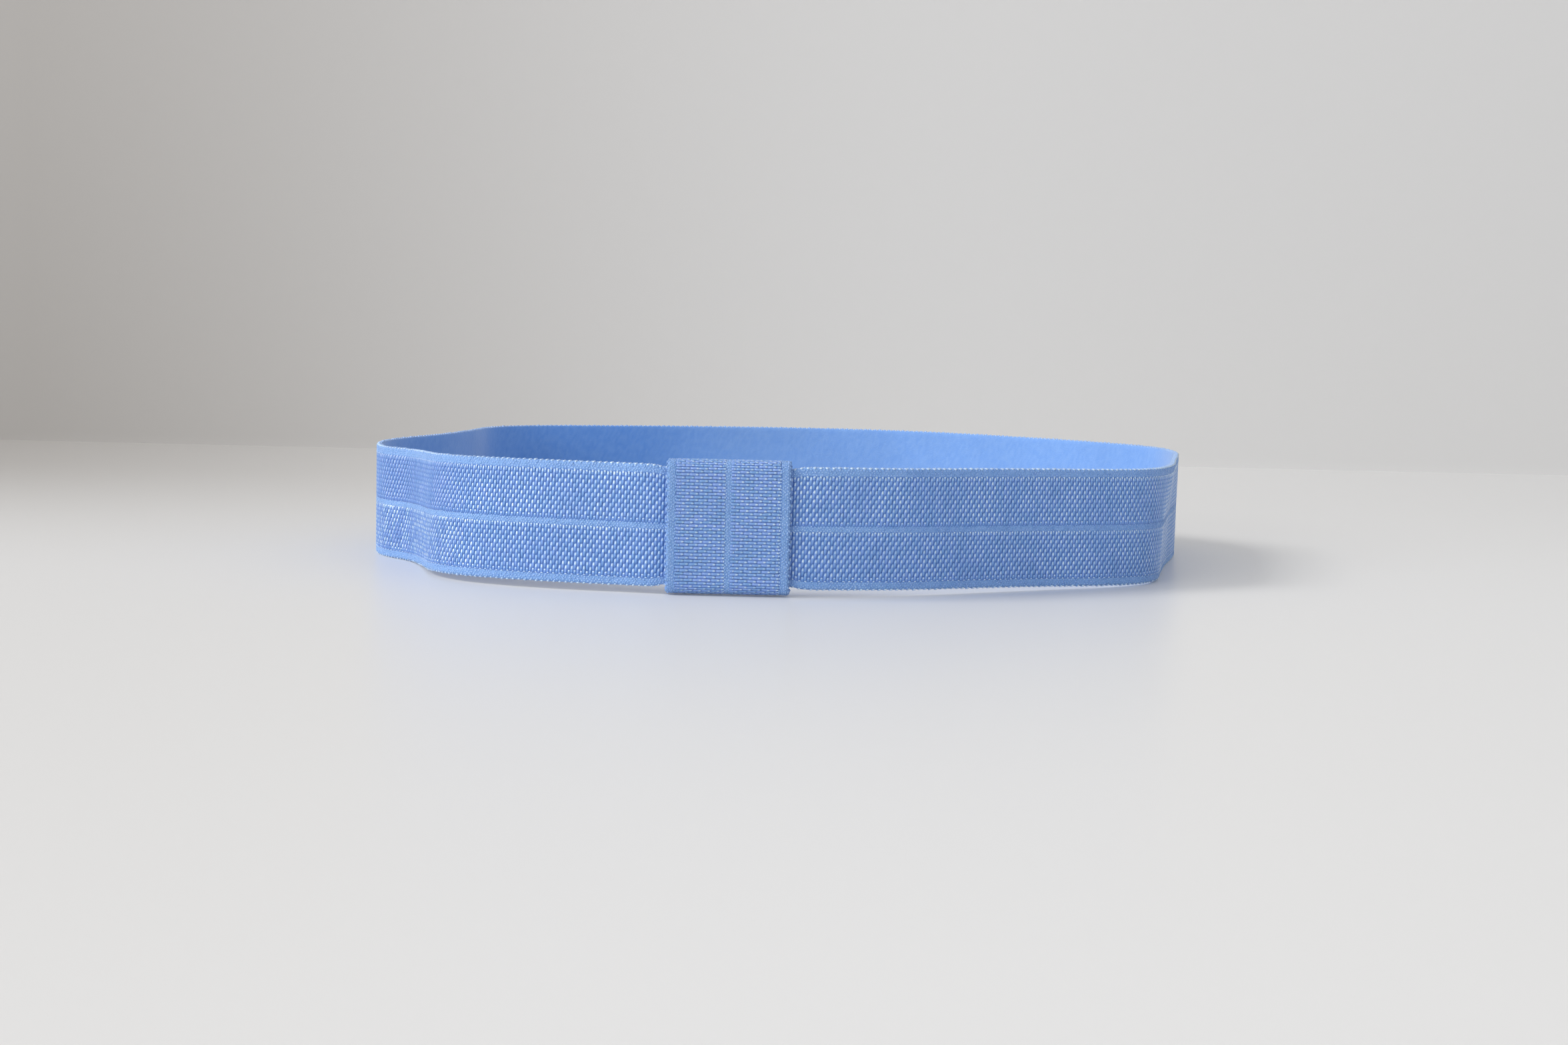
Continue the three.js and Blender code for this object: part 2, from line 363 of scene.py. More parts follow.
def keeper_carrier(width):
    """Carries the elastic round the keeper's slot, a rounded rectangle that starts at its lap.

    Distances along are measured on the keeper's face. A place is the corner's centre, which moves
    only along the flats, plus the inner radius and the proudness in the direction turned so far.
    """
    middle = keeper_middle()
    radius = KEEPER_FOLD_RADIUS
    flat_depth = BAND_THICKNESS / 2 + KEEPER_GAP - radius
    flat_height = (width - KEEPER_PINCH) / 2 + KEEPER_GAP - radius
    quarter = np.pi / 2 * (radius + BAND_THICKNESS)
    side = [quarter, 2 * flat_depth, quarter]
    ends = np.r_[0, np.cumsum([flat_height, *side, 2 * flat_height, *side, flat_height])]
    length = ends[-1]
    steps = np.linspace(0, length, KEEPER_SAMPLES, endpoint=False)
    turned = sum(np.clip((steps - ends[at]) / quarter, 0, 1) for at in (1, 3, 5, 7)) * np.pi / 2
    corner_depth = np.array([0, 0, 0, -1, -1, -1, -1, 0, 0, 0])
    corner_rise = np.array([0, 1, 1, 1, 1, -1, -1, -1, -1, 0])
    centre_depth = np.interp(steps, ends, flat_depth * (1 + 2 * corner_depth))
    centre_rise = np.interp(steps, ends, flat_height * corner_rise)
    y, z = np.cos(turned), np.sin(turned)
    columns = np.stack([centre_depth + radius * y, centre_rise + radius * z, y, z])

    def carry(along, across, out):
        """Places on the keeper, as three columns."""
        from_lap = np.abs(np.mod(along + length / 2, length) - length / 2)
        lap = np.clip((KEEPER_LAP_HEIGHT / 2 + LAP_EDGE - from_lap) / LAP_EDGE, 0, 1)
        proud = out + np.where(out > LAP_LEVEL, lap * KEEPER_LAP_THICKNESS, 0)
        depth, rise, out_y, out_z = (
            np.interp(along, steps, column, period=length) for column in columns
        )
        norm = np.hypot(out_y, out_z)
        return np.stack(
            [
                middle[0] + across + 0 * along,
                middle[1] + depth + proud * out_y / norm,
                np.maximum(middle[2] + rise + proud * out_z / norm, FLOOR_CLEARANCE),
            ],
            axis=-1,
        )

    return Carrier(length, carry)


def put_mesh(name, places, faces, smooth=True):
    """A mesh object from arrays of places and of faces with equally many corners."""
    mesh = bpy.data.meshes.new(name)
    mesh.from_pydata(places.reshape(-1, 3), [], faces.tolist())
    mesh.polygons.foreach_set("use_smooth", np.full(len(faces), smooth))
    mesh.update()
    thing = bpy.data.objects.new(name, mesh)
    bpy.context.scene.collection.objects.link(thing)
    return thing


def put_attribute(thing, name, values):
    """Writes one number for each point of the mesh."""
    layer = thing.data.attributes.new(name, "FLOAT", "POINT")
    layer.data.foreach_set("value", np.asarray(values, np.float32).ravel())


def ring_grid(rows, columns):
    """The faces of a grid closed both ways.

    Each joins a point, the same point of the next row, that one's neighbour and the point's own.
    """
    row, column = np.meshgrid(np.arange(rows), np.arange(columns), indexing="ij")
    ahead, beside = (row + 1) % rows, (column + 1) % columns
    corners = ((row, column), (ahead, column), (ahead, beside), (row, beside))
    return np.stack([at * columns + along for at, along in corners], axis=-1).reshape(-1, 4)


def volume_sign(places, faces):
    """The sign of the volume inside quads: the sum of middles dotted with crossed diagonals."""
    corners = places[faces]
    crossed = np.cross(corners[:, 2] - corners[:, 0], corners[:, 3] - corners[:, 1])
    return np.sign(np.einsum("ij,ij->", corners.mean(axis=1) - places.mean(axis=0), crossed))


def cloth_section(elastic):
    """The cloth's section as rows of across, out and finish, once round from the lower edge.

    The front has rounded selvedges, panels sunk a little so that the floats lie in them, and the
    fold line level with the selvedges. The back is flat with rounded edges. Finish is 0 for the
    ground under the floats, 1 for selvedge and fold line, and 2 for the back.
    """
    half = elastic.width / 2
    selvedge = half - elastic.selvedge
    fold = elastic.fold_line / 2
    step = 0.05 * MM
    panel_points, back_points = 7, 12
    edge = np.array([0.0, 0.06, 0.16, 0.34, 0.6, 0.85]) * MM
    rounding = np.array([0.45, 0.67, 0.76, 0.8, 0.8, 0.8]) * MM
    panel = np.linspace(selvedge - 2 * step, fold + 2 * step, panel_points)
    across = np.r_[half - edge, selvedge + step, panel, fold - step]
    out = np.r_[rounding, EDGING_LEVEL, np.full(panel_points, PANEL_LEVEL), EDGING_LEVEL]
    finish = np.r_[np.ones(len(edge) + 1), np.zeros(panel_points - 1), 1, 1]
    front = np.r_[-across, 0, across[::-1]]
    front_out = np.r_[out, EDGING_LEVEL, out[::-1]]
    front_finish = np.r_[finish, 1, finish[::-1]]
    back_edge = np.array([0.02, 0.1, 0.25]) * MM
    back_rounding = np.array([0.22, 0.08, 0.02]) * MM
    back_across = np.r_[half - back_edge, np.linspace(half - 0.7 * MM, 0.5 * MM, back_points)]
    back = np.r_[back_across, 0, -back_across[::-1]]
    back_out = np.r_[back_rounding, np.zeros(2 * back_points + 1), back_rounding[::-1]]
    finishes = np.r_[front_finish, np.full(len(back), 2)]
    return np.column_stack([np.r_[front, back], np.r_[front_out, back_out], finishes])


def weave_cloth(name, carrier, elastic, rows, rng):
    """The ground cloth: the section carried along the elastic.

    Each point moves a little in or out by chance. A face has the lower finish of its two sides.
    The rise attribute paints light onto the plush over one stretch.
    """
    section = cloth_section(elastic)
    along = np.arange(rows) * carrier.length / rows
    grid_along, grid_across = np.meshgrid(along, section[:, 0], indexing="ij")
    out = np.tile(section[:, 1], (rows, 1))
    finish = np.tile(section[:, 2], (rows, 1))
    out += rng.normal(0, 1, out.shape) * np.where(finish < 2, FRONT_UNEVENNESS, BACK_UNEVENNESS)
    places = carrier.carry(grid_along.ravel(), grid_across.ravel(), out.ravel())
    faces = ring_grid(rows, len(section))
    if volume_sign(places, faces[: len(section)]) < 0:
        faces = faces[:, ::-1]
    thing = put_mesh(name, places, faces)
    looks = np.tile(np.minimum(section[:, 2], np.roll(section[:, 2], -1)), rows).astype(np.int32)
    thing.data.polygons.foreach_set("material_index", looks)
    put_attribute(thing, "tint", rng.random(out.size))
    # Painted light on the plush over one stretch, carried by the rise attribute.
    share = np.abs(np.mod(grid_along / carrier.length - PAINTED_PLUSH_LIGHT_MIDDLE + 0.5, 1) - 0.5)
    painted_plush_light = smooth_fall(share - PAINTED_PLUSH_LIGHT_REACH, PAINTED_PLUSH_LIGHT_RELEASE)
    put_attribute(thing, "rise", np.where(finish < 2, 0.5, painted_plush_light))
    return thing


class YarnForm:
    """A yarn's rings from its lower to its upper end, as shares, and its points' turns."""

    def __init__(self, along, breadth, height, turns):
        self.along = np.array(along, float)
        self.breadth = np.array(breadth, float)
        self.height = np.array(height, float)
        self.turns = np.radians(turns)

    def faces(self):
        """Triangles: two for each side between neighbouring rings, and a fan over each end."""
        points = len(self.turns)
        last = (len(self.along) - 1) * points
        sides = ring_grid(len(self.along), points)[:last]
        fan = np.arange(1, points - 1)
        low = np.stack([0 * fan, fan + 1, fan], -1)
        high = np.stack([0 * fan, fan, fan + 1], -1) + last
        return np.vstack([sides[:, [0, 3, 2]], sides[:, [0, 2, 1]], low, high])


ROUND_TURNS = (-12, 42, 90, 138, 192)
FLOAT = YarnForm([-1, -0.3, 0.35, 1], [0.92, 1, 1, 0.88], [0.62, 0.95, 1, 0.4], ROUND_TURNS)
LOOP = YarnForm([-1, -0.4, 0.4, 1], [0.45, 0.95, 0.95, 0.45], [0.3, 0.9, 1, 0.3], ROUND_TURNS)
SPECK = YarnForm([-1, 0, 1], [0.55, 1, 0.55], [0.3, 1, 0.3], (-12, 55, 125, 192))


def yarn_loops(
    name, carrier, rng, form, along, across, turn, length, breadth, foot, height, painted_light=0.0
):
    """Closed pillow-shaped yarns lying on the elastic, worked out all at once.

    A ring lies at a share of the yarn's half length, is a share of its half breadth wide, and
    stands out by its height share times the sine of the point's turn. The yarn is turned on the
    cloth by its own angle, then carried along the elastic. The painted light value strengthens its
    dash of painted highlight, or where it is below nought weakens it and darkens the yarn with
    painted shade.
    """
    count = len(along)
    along, across, turn, length, breadth, foot, height = (
        np.broadcast_to(np.asarray(value, float), (count,))[:, None, None]
        for value in (along, across, turn, length, breadth, foot, height)
    )
    rings, points = len(form.along), len(form.turns)
    cosine, sine = np.cos(form.turns), np.sin(form.turns)
    run = form.along[:, None] * length / 2 + 0 * cosine
    side = form.breadth[:, None] * cosine * breadth / 2
    rise = foot + form.height[:, None] * sine * height
    place_along = along + side * np.cos(turn) + run * np.sin(turn)
    place_across = across + run * np.cos(turn) - side * np.sin(turn)
    places = carrier.carry(place_along.ravel(), place_across.ravel(), rise.ravel())
    triangles = form.faces()
    first = places[: rings * points]
    corner = first[triangles] - first.mean(axis=0)
    if np.einsum("ij,ij->", corner[:, 0], np.cross(corner[:, 1], corner[:, 2])) < 0:
        triangles = triangles[:, ::-1]
    faces = (triangles[None] + np.arange(count)[:, None, None] * rings * points).reshape(-1, 3)
    thing = put_mesh(name, places, faces)
    shape = (count, rings, points)
    for attribute, values in (
        ("tint", rng.random(count)[:, None, None]),
        ("painted_light", np.broadcast_to(painted_light, (count,))[:, None, None]),
        ("reach", form.along[:, None]),
        ("turn", np.degrees(form.turns)),
        # The rise attribute paints light on each yarn's crest and shade at its sides and ends.
        ("rise", form.height[:, None] * np.clip(sine, 0, 1)),
    ):
        put_attribute(thing, attribute, np.broadcast_to(values, shape))
    return thing


def panel_places(carrier, elastic, columns, low, high):
    """Middles and lengths of one panel's floats, every other column starting half a pitch on.

    Floats are cut short at the panel's edges, and under two fifths of the pitch they are left out.
    """
    pitch = elastic.float_pitch
    steps = np.arange(-1, int((high - low) / pitch) + 2)
    column, step = np.meshgrid(np.arange(columns), steps, indexing="ij")
    start = low + (step + 0.5 * (column % 2)) * pitch
    end = np.minimum(start + pitch, high)
    start = np.maximum(start, low)
    keep = end - start > 0.4 * pitch
    along = (column + 0.5) * carrier.length / columns
    return along[keep], ((start + end) / 2)[keep], (end - start)[keep]


def panel_edges(elastic, over_fold, over_selvedge):
    """How far from the elastic's middle a panel starts and ends, a little over its plain strips."""
    fold = elastic.fold_line / 2 - over_fold
    return fold, elastic.width / 2 - elastic.selvedge + over_selvedge


def even_columns(carrier, elastic):
    """The number of columns of floats round the elastic, even so that the bricks close."""
    return 2 * round(carrier.length / elastic.column / 2)


def weave_panel(
    name, carrier, elastic, columns, low, high, rng,
    slant=0.0, sway=0.0, proud=1.0, painted_light=0.0, painted_light_share=1.0,
):
    """One satin panel of floats, each a little different in place, slant, length and height.

    The slant in degrees has the sway added, times a cosine that peaks once round. Over the
    turned-away left end, a chance share of the floats gets the painted light, painted highlight
    where it is above nought and painted shade where it is below, and the rest get painted shade.
    """
    along, middle, length = panel_places(carrier, elastic, columns, low, high)
    count = len(along)
    along_by, middle_by, slant_by, length_by, height_by = rng.normal(0, 1, (5, count))
    share = along / carrier.length
    slant = slant + sway * np.cos(2 * np.pi * (share - SWAY_PEAK))
    at_end = smooth_fall(np.abs(share - LEFT_END_MIDDLE) - LEFT_END_REACH, LEFT_END_RELEASE)
    return yarn_loops(
        name, carrier, rng, FLOAT,
        along + 0.012 * MM * along_by,
        middle + 0.02 * MM * middle_by,
        np.radians(slant + 1.5 * slant_by),
        length * (1.08 + 0.02 * length_by),
        elastic.float_breadth,
        YARN_FOOT,
        elastic.float_height * (proud + 0.06 * height_by),
        painted_light * at_end * np.where(rng.random(count) < painted_light_share, 1.0, LEFT_END_PAINTED_SHADE),
    )


def weave_specks(name, carrier, rows, columns, rng, painted_shade_depth=0.0):
    """Short loops that lie every way, in rows along the elastic at the given places across it.

    Every other row starts half a pitch on. Over the right front the loops get painted shade.
    """
    rows = np.asarray(rows)
    column, row = np.meshgrid(np.arange(columns), np.arange(len(rows)), indexing="ij")
    along = (column + 0.5 * (row % 2)).ravel() * carrier.length / columns
    across = rows[row].ravel()
    count = len(along)
    along_by, across_by, turn_by, length_by, height_by = rng.normal(0, 1, (5, count))
    from_front = np.abs(along / carrier.length - RIGHT_FRONT_MIDDLE)
    return yarn_loops(
        name, carrier, rng, SPECK,
        along + 0.06 * MM * along_by,
        across + 0.05 * MM * across_by,
        np.radians(rng.choice([-40, 35, 80], count) + 15 * turn_by),
        (0.46 + 0.05 * length_by) * MM,
        0.3 * MM,
        YARN_FOOT,
        (0.11 + 0.02 * height_by) * MM,
        -painted_shade_depth * smooth_fall(from_front - RIGHT_FRONT_REACH, RIGHT_FRONT_RELEASE),
    )


def selvedge_rows(elastic, insets=(0.32, 0.6, 0.88)):
    """Places across of the selvedges' loops: a row at each edge for each inset in millimetres."""
    rows = elastic.width / 2 - np.array(insets) * MM
    return np.r_[-rows, rows]


def fold_rows(elastic):
    """Places across of the fold line's loops."""
    return np.array([-0.3, 0, 0.3]) * elastic.fold_line


def weave_picots(name, carrier, elastic, columns, rng, loose=1.0):
    """The bright loops: picots that bead both edges, and dashes between selvedge and panel.

    A row has a loop for every two columns, and loose rows have loops that stray and turn more.
    """
    half = elastic.width / 2
    pairs = columns // 2
    rows = (
        # across, turn in degrees, and in millimetres the length, breadth, foot and height
        (half - 0.08 * MM, 72, (0.52, 0.38, 0.4, 0.44)),
        (half - 0.08 * MM, 60, (0.42, 0.24, 0.14, 0.32)),
        (half - elastic.selvedge - 0.02 * MM, 84, (0.4, 0.18, 0.74, 0.18)),
    )
    parts = []
    for row, (across, turn, sizes) in enumerate(rows):
        length, breadth, foot, height = np.array(sizes) * MM
        along = (np.arange(pairs) + 0.25 + 0.5 * (row % 2)) * carrier.length / pairs
        for side in (-1, 1):
            along_by, across_by, turn_by, length_by = rng.normal(0, 1, (4, pairs))
            parts.append(
                [
                    along + 0.03 * MM * along_by,
                    side * across + 0.02 * MM * loose * across_by,
                    np.radians(turn + 6 * loose * turn_by),
                    length * (1 + 0.08 * length_by),
                    np.full(pairs, breadth),
                    np.full(pairs, foot),
                    height * (1 + 0.06 * along_by),
                ]
            )
    return yarn_loops(name, carrier, rng, LOOP, *np.concatenate(parts, axis=1))


def sew_lap(name, carrier, elastic, rng):
    """Two rows of thread stitches across the keeper's lap, a row near each of its ends."""
    stitches, reach, inset = 9, 0.42, 1 * MM
    across = np.linspace(-reach, reach, stitches) * elastic.width
    rows = np.array([-1, 1]) * (KEEPER_LAP_HEIGHT / 2 - inset)
    along, across = (grid.ravel() for grid in np.meshgrid(rows, across, indexing="ij"))
    along_by, turn_by = rng.normal(0, 1, (2, len(along)))
    return yarn_loops(
        name, carrier, rng, LOOP,
        along + 0.03 * MM * along_by,
        across,
        np.radians(4 * turn_by),
        length=1.15 * MM, breadth=0.24 * MM, foot=YARN_FOOT + 0.1 * MM, height=0.2 * MM,
    )


def feed(tree, socket, value):
    """Links another socket to the socket, or sets it to a number or a colour."""
    if isinstance(value, bpy.types.NodeSocket):
        tree.links.new(value, socket)
    else:
        socket.default_value = value


def node(tree, kind, inputs=None, **settings):
    """A new node with its settings, and with its inputs fed by name or by number."""
    made = tree.nodes.new(kind)
    for name, value in settings.items():
        setattr(made, name, value)
    for key, value in (inputs or {}).items():
        feed(tree, made.inputs[key], value)
    return made


def worked(tree, operation, *values):
    """A Math node's result; each value is a number or a socket."""
    return node(tree, "ShaderNodeMath", dict(enumerate(values)), operation=operation).outputs[0]


def blended(tree, factor, first, second):
    """A colour between two, by a factor."""
    inputs = {"Factor": factor, "A": first, "B": second}
    return node(tree, "ShaderNodeMix", inputs, data_type="RGBA").outputs["Result"]


def read(tree, name):
    """The mesh's own number of the given name."""
    return node(tree, "ShaderNodeAttribute", attribute_name=name).outputs["Fac"]


def noise(tree, place, size, detail):
    """Noise at a place in the object's own coordinates."""
    inputs = {"Vector": place, "Scale": size, "Detail": detail}
    return node(tree, "ShaderNodeTexNoise", inputs).outputs["Fac"]


def hump(tree, value, middle, reach):
    """1 where the value is near the middle, falling to 0 at the given reach on both sides.

    It is twice what is left of the reach, as a share of it, rounded off where it would pass 1.
    """
    away = worked(tree, "ABSOLUTE", worked(tree, "SUBTRACT", value, middle))
    near = worked(tree, "SUBTRACT", 1.0, worked(tree, "DIVIDE", away, reach))
    near = worked(tree, "MAXIMUM", near, 0.0)
    return worked(tree, "SMOOTH_MIN", worked(tree, "MULTIPLY", near, 2.0), 1.0, 0.4)


# Shares of the tint and of the crest's bar of painted light in the body's colour, how much the
# blotches break up the painted highlight dashes, and the fibres' usual range.
TINT_SHARE, BAR_SHARE = 0.35, 0.65
DASH_BREAKS = 2.2
FIBRES_LOW, FIBRES_HIGH = 0.3, 0.7

# The twist's wave, in radians for each degree of turn and for half a yarn's length, and its depth.
TWIST_ROUND, TWIST_ALONG, TWIST_DEPTH = 0.087, 15.0, 0.25


def yarn_mottle_and_painted_light():
    """A shared group: a yarn's tint, painted light on its crest and painted shade at its foot, a
    painted highlight dash, soft blotches and fine fibres.

    The colour lies between the deep and the bright one: about a third by the tint attribute, the
    rest by the rise attribute times a hump of the reach attribute, which paints a light bar along
    the crest and leaves painted shade below it. Humps of the reach and turn attributes mix a short
    dash of painted highlight towards the glint colour, stronger with the tint and the painted light
    attribute. Where that attribute is below nought, it darkens the whole yarn with painted shade.
    The gloss is the dash times its own share. The hue leans by the tint, and a slow noise
    multiplies all. The relief is a wave along the yarn's twist with fine noise on it.
    """
    group = bpy.data.node_groups.get("Yarn mottle and painted light")
    if group:
        return group
    group = bpy.data.node_groups.new("Yarn mottle and painted light", "ShaderNodeTree")
    for socket, value in (
        ("Deep", (0.1, 0.2, 0.5, 1)),
        ("Bright", (0.2, 0.36, 0.7, 1)),
        ("Glint", (0.6, 0.75, 1, 1)),
        ("Glint share", 0.4),
        ("Glint place", 0.4),
        ("Glint reach", 0.36),
        ("Glint breadth", 34.0),
        ("Glint gloss", 0.0),
        ("Hue spread", 0.0),
        ("Bar place", 0.0),
        ("Bar reach", 3.0),
        ("Blotch size", 160.0),
        ("Blotch depth", 0.1),
        ("Fibre size", 9000.0),
        ("Roughness low", 0.35),
        ("Roughness high", 0.55),
    ):
        kind = "NodeSocketColor" if isinstance(value, tuple) else "NodeSocketFloat"
        made = group.interface.new_socket(name=socket, in_out="INPUT", socket_type=kind)
        made.default_value = value
    for socket in ("Colour", "Relief", "Roughness", "Gloss"):
        kind = "NodeSocketColor" if socket == "Colour" else "NodeSocketFloat"
        group.interface.new_socket(name=socket, in_out="OUTPUT", socket_type=kind)
    given = group.nodes.new("NodeGroupInput").outputs
    result = group.nodes.new("NodeGroupOutput").inputs
    tint, painted_light, rise, reach, turn = (
        read(group, name) for name in ("tint", "painted_light", "rise", "reach", "turn")
    )
    place = group.nodes.new("ShaderNodeTexCoord").outputs["Object"]

    # Painted light along the crest and painted shade at the foot: the rise attribute times a hump
    # of the reach.
    bar = hump(group, reach, given["Bar place"], given["Bar reach"])
    bar = worked(group, "MULTIPLY", worked(group, "MULTIPLY", rise, bar), BAR_SHARE)
    # Painted shade: a painted light value below nought darkens the whole yarn.
    tint_and_painted_shade = worked(group, "ADD", tint, worked(group, "MINIMUM", painted_light, 0.0))
    lift = worked(group, "MULTIPLY_ADD", tint_and_painted_shade, TINT_SHARE, bar)
    body = blended(group, lift, given["Deep"], given["Bright"])
    # A painted highlight: a short dash on the yarn's crest, mixed towards the glint colour.
    lengthwise = hump(group, reach, given["Glint place"], given["Glint reach"])
    crosswise = hump(group, turn, 90.0, given["Glint breadth"])
    uneven = worked(group, "MULTIPLY_ADD", worked(group, "ADD", tint, painted_light), 0.5, 0.5)
    dash = worked(group, "MULTIPLY", worked(group, "MULTIPLY", lengthwise, crosswise), uneven)
    blotch = worked(group, "SUBTRACT", noise(group, place, given["Blotch size"], 3), 0.5)
    broken = worked(group, "MULTIPLY_ADD", blotch, DASH_BREAKS, 1.0)
    dash = worked(group, "MULTIPLY", dash, broken)
    share = worked(group, "MULTIPLY", dash, given["Glint share"])
    crest = blended(group, share, body, given["Glint"])

    lean = worked(group, "SUBTRACT", tint, 0.5)
    lean = worked(group, "MULTIPLY_ADD", lean, given["Hue spread"], 0.5)
    hue = node(group, "ShaderNodeHueSaturation", {"Hue": lean, "Color": crest})
    depth = worked(group, "MULTIPLY_ADD", blotch, given["Blotch depth"], 1.0)
    inputs = {0: hue.outputs["Color"], "Scale": depth}
    shade = node(group, "ShaderNodeVectorMath", inputs, operation="SCALE")
    feed(group, result["Colour"], shade.outputs[0])
    feed(group, result["Gloss"], worked(group, "MULTIPLY", dash, given["Glint gloss"]))

    fine = noise(group, place, given["Fibre size"], 2)
    twist = worked(group, "MULTIPLY", reach, TWIST_ALONG)
    wave = worked(group, "SINE", worked(group, "MULTIPLY_ADD", turn, TWIST_ROUND, twist))
    feed(group, result["Relief"], worked(group, "MULTIPLY_ADD", wave, TWIST_DEPTH, fine))
    inputs = {
        "Value": fine,
        "From Min": FIBRES_LOW,
        "From Max": FIBRES_HIGH,
        "To Min": given["Roughness low"],
        "To Max": given["Roughness high"],
    }
    feed(group, result["Roughness"], node(group, "ShaderNodeMapRange", inputs).outputs["Result"])
    return group


# The light of each painted glint highlight, how far a yarn's roughness spreads, and how deep its
# fibres lie.
GLINT_LIGHT = np.array([0.62, 0.79, 0.78])
ROUGHNESS_SPREAD = 0.08
FIBRE_RELIEF = 0.02 * MM


def paint(colour):
    """A colour held between 0 and 1, as a socket takes it."""
    return (*np.clip(colour, 0, 1), 1)


def yarn_finish(
    name, colour, roughness, sheen, gloss, spread,
    relief=FIBRE_RELIEF, glint_gloss=0.0, **mottle_and_painted_light_values,
):
    """A yarn's material: the shared group of mottle and painted light for colour, roughness and
    relief, with a fabric sheen.

    The spread says how far the deep and bright colours lie from the middle one, and the relief how
    deep the fibres are. The glint, a painted highlight, is light with a third of the yarn's colour
    added, and its gloss weighs a coat. The group's other values are given by their names with
    underscores.
    """
    finish = bpy.data.materials.get(name)
    if finish:
        return finish
    finish = bpy.data.materials.new(name)
    finish.use_nodes = True
    tree = finish.node_tree
    colour = np.array(colour)
    spread = np.array(spread)
    values = {key.capitalize().replace("_", " "): value for key, value in mottle_and_painted_light_values.items()}
    values["Deep"] = paint(colour * (1 - spread))
    values["Bright"] = paint(colour * (1 + spread))
    values["Glint"] = paint(colour * 0.3 + GLINT_LIGHT)
    values["Glint gloss"] = glint_gloss
    values["Roughness low"] = roughness - ROUGHNESS_SPREAD
    values["Roughness high"] = roughness + ROUGHNESS_SPREAD
    mottle_and_painted_light = node(tree, "ShaderNodeGroup", values, node_tree=yarn_mottle_and_painted_light()).outputs
    inputs = {"Distance": relief, "Strength": 0.6, "Height": mottle_and_painted_light["Relief"]}
    bump = node(tree, "ShaderNodeBump", inputs)
    for socket, value in (
        ("Base Color", mottle_and_painted_light["Colour"]),
        ("Roughness", mottle_and_painted_light["Roughness"]),
        ("Normal", bump.outputs["Normal"]),
        ("Specular IOR Level", gloss),
        ("Coat Weight", mottle_and_painted_light["Gloss"] if glint_gloss else 0.0),
        ("Coat Roughness", 0.3),
        ("Coat IOR", 1.9),
        ("Sheen Weight", sheen),
        ("Sheen Roughness", 0.35),
        ("Sheen Tint", paint(colour * 0.5 + 0.7)),
    ):
        feed(tree, tree.nodes["Principled BSDF"].inputs[socket], value)
    return finish


def dress(thing, *finishes):
    """Gives an object its materials."""
    for finish in finishes:
        thing.data.materials.append(finish)


def satin_finish(colours):
    """The band's satin yarn, with a painted highlight dash on each float."""
    return yarn_finish(
        "Satin yarn", colours.satin, roughness=0.32, sheen=0.25, gloss=0.7,
        spread=(0.42, 0.34, 0.16), hue_spread=0.012, bar_place=0.15, bar_reach=1.2,
        glint_share=0.7, glint_place=0.5, glint_reach=0.38, glint_breadth=46.0, glint_gloss=1.0,
    )


def keeper_satin_finish(colours):
    """The keeper's satin yarn, a little redder, with longer bars of painted light and smaller
    dashes of painted highlight.
    """
    return yarn_finish(
        "Keeper satin yarn", np.array(colours.satin) * [1.1, 1.0, 0.95],
        roughness=0.34, sheen=0.3, gloss=0.7,
        spread=(0.5, 0.42, 0.22), hue_spread=0.02, bar_place=0.1, bar_reach=2.2,
        glint_share=0.85, glint_place=0.5, glint_reach=0.32, glint_breadth=40.0, glint_gloss=0.6,
    )


def edging_finish(colours, name="Edging yarn", shade=1.0):
    """The matter yarn of selvedges and fold lines, multiplied by a shade, with small dashes of
    painted highlight.
    """
    return yarn_finish(
        name, np.array(colours.edging) * shade, roughness=0.5, sheen=0.4, gloss=0.4,
        spread=(0.36, 0.28, 0.14), hue_spread=0.01,
        glint_share=0.3, glint_place=0.0, glint_reach=0.5, glint_breadth=30.0,
    )


def picot_finish(colours):
    """The bright yarn of picots and stitches, with a painted highlight along its whole crest under
    a glossy coat.
    """
    return yarn_finish(
        "Picot yarn", colours.picot, roughness=0.35, sheen=0.3, gloss=0.7, spread=(0.2, 0.16, 0.1),
        glint_share=0.6, glint_place=0.0, glint_reach=0.7, glint_breadth=50.0, glint_gloss=1.0,
    )


def cloth_finishes(colours, name="Edging ground", shade=1.0):
    """The ground cloth's three finishes: under the floats, under the plain strips, and its back."""
    ground = yarn_finish(
        "Ground weave", colours.ground, roughness=0.6, sheen=0.2, gloss=0.4,
        spread=(0.12, 0.1, 0.06),
    )
    edging = yarn_finish(
        name, np.array(colours.edging) * shade * 0.95, roughness=0.6, sheen=0.4, gloss=0.4,
        spread=(0.35, 0.3, 0.18),
    )
    # The back's colour takes painted light over one stretch from the rise attribute.
    plush = yarn_finish(
        "Brushed back", colours.plush, roughness=0.75, sheen=1.0, gloss=0.3,
        spread=(0.32, 0.17, 0.05), relief=0.08 * MM,
        blotch_size=110.0, blotch_depth=0.14, fibre_size=4200.0,
    )
    return ground, edging, plush


